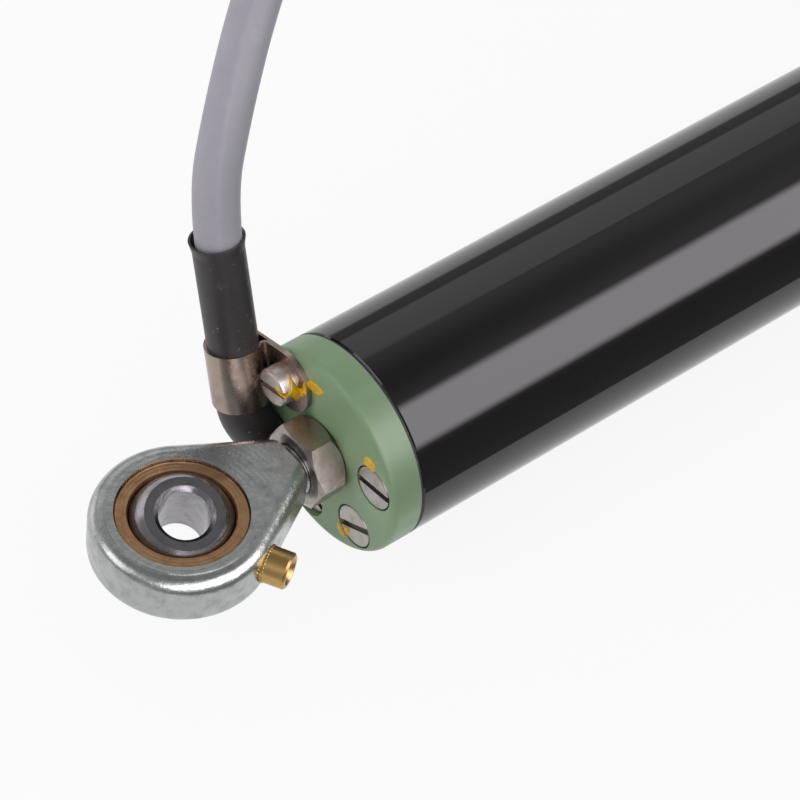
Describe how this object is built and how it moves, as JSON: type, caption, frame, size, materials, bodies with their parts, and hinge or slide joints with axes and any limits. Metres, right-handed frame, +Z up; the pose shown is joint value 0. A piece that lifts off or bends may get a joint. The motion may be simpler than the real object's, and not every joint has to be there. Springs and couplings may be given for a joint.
{
  "type": "linear potentiometer",
  "caption": "Round-bodied linear position sensor with a rod-end bearing at each end, a sliding shaft, and a clamped cable leaving its rear cap.",
  "frame": {"origin": "ball centre of the rear rod-end bearing, on the sensor's axis", "axes": "+X along the sensor's axis from the rear eye towards the shaft; +Z up, square to the rear eye's flat faces, with the sensor lying on its side"},
  "size_m": [0.1688, 0.0761, 0.0583],
  "materials": {
    "zinc_plated_steel": "bright zinc plate over forged steel, faint machining rings",
    "bearing_bronze": "plain bearing bronze, slightly dulled",
    "polished_steel": "ground and polished steel",
    "brass": "bare turned brass",
    "bright_nickel": "bright nickel plate",
    "clamp_nickel": "nickel plated strip",
    "sage_green_paint": "satin sage green paint",
    "gloss_black_anodise": "glossy black finish",
    "black_rubber": "matte black rubber",
    "black_shrink_sleeve": "semi-matte shrink sleeve",
    "grey_cable_jacket": "matte grey flexible jacket",
    "core_insulation": "thin smooth insulation, one colour a core",
    "tinned_copper": "tinned strands",
    "moulded_black": "moulded plastic",
    "moulded_natural": "moulded natural plastic",
    "board_laminate": "amber laminate",
    "carbon_film": "smooth conductive film",
    "spring_alloy": "bare spring alloy",
    "spring_steel": "oil-dark spring steel",
    "ground_stainless": "ground stainless bar"
  },
  "bodies": {
    "housing": {"body_tube": "gloss_black_anodise", "rear_cap": "sage_green_paint", "rear_cap_gasket": "black_rubber", "rear_cap_screws": "bright_nickel", "rear_thread_insert": "brass", "rear_lock_nut": "bright_nickel", "rear_rod_end": "zinc_plated_steel", "rear_race": "bearing_bronze", "rear_grease_nipple": "brass", "cable_clamp": "clamp_nickel", "cable_clamp_screw": "bright_nickel", "cable_sleeve": "black_shrink_sleeve", "cable_in_sleeve": "grey_cable_jacket", "cable_free": "grey_cable_jacket", "cable_coil": "grey_cable_jacket", "coil_tie": "moulded_black", "core_supply": "core_insulation", "core_wiper": "core_insulation", "core_ground": "core_insulation", "cable_core_tips": "tinned_copper", "element_carrier": "moulded_black", "element_board": "board_laminate", "resistive_track": "carbon_film", "collector_track": "carbon_film", "inner_wires": "core_insulation", "solder_joints": "tinned_copper", "rear_bump_stop": "black_rubber", "front_bump_stop": "black_rubber", "front_cap": "sage_green_paint", "front_cap_gasket": "black_rubber", "front_cap_screws": "bright_nickel", "shaft_bush": "bearing_bronze", "shaft_seal": "black_rubber", "seal_retainer": "clamp_nickel"},
    "carriage": {"wiper_carriage": "moulded_natural", "wiper_springs": "spring_alloy"},
    "shaft": {"shaft": "ground_stainless", "shaft_clip": "spring_steel", "front_lock_nut": "bright_nickel", "front_rod_end": "zinc_plated_steel", "front_race": "bearing_bronze", "front_grease_nipple": "brass"},
    "rear_ball": {"rear_ball": "polished_steel"},
    "front_ball": {"front_ball": "polished_steel"}
  },
  "joints": [
    {"name": "stroke", "type": "slide", "parent": "housing", "child": "carriage", "axis": [1, 0, 0], "range_m": [0, 0.05]},
    {"name": "shaft_turn", "type": "hinge", "parent": "carriage", "child": "shaft", "pos_m": [0, 0, 0], "axis": [1, 0, 0], "continuous": true},
    {"name": "rear_swivel", "type": "hinge", "parent": "housing", "child": "rear_ball", "pos_m": [0, 0, 0], "axis": [1, 0, 0], "range_deg": [-25.4, 0.6]},
    {"name": "front_swivel", "type": "hinge", "parent": "shaft", "child": "front_ball", "pos_m": [0.151, 0, 0], "axis": [1, 0, 0], "range_deg": [-13, 13]}
  ]
}
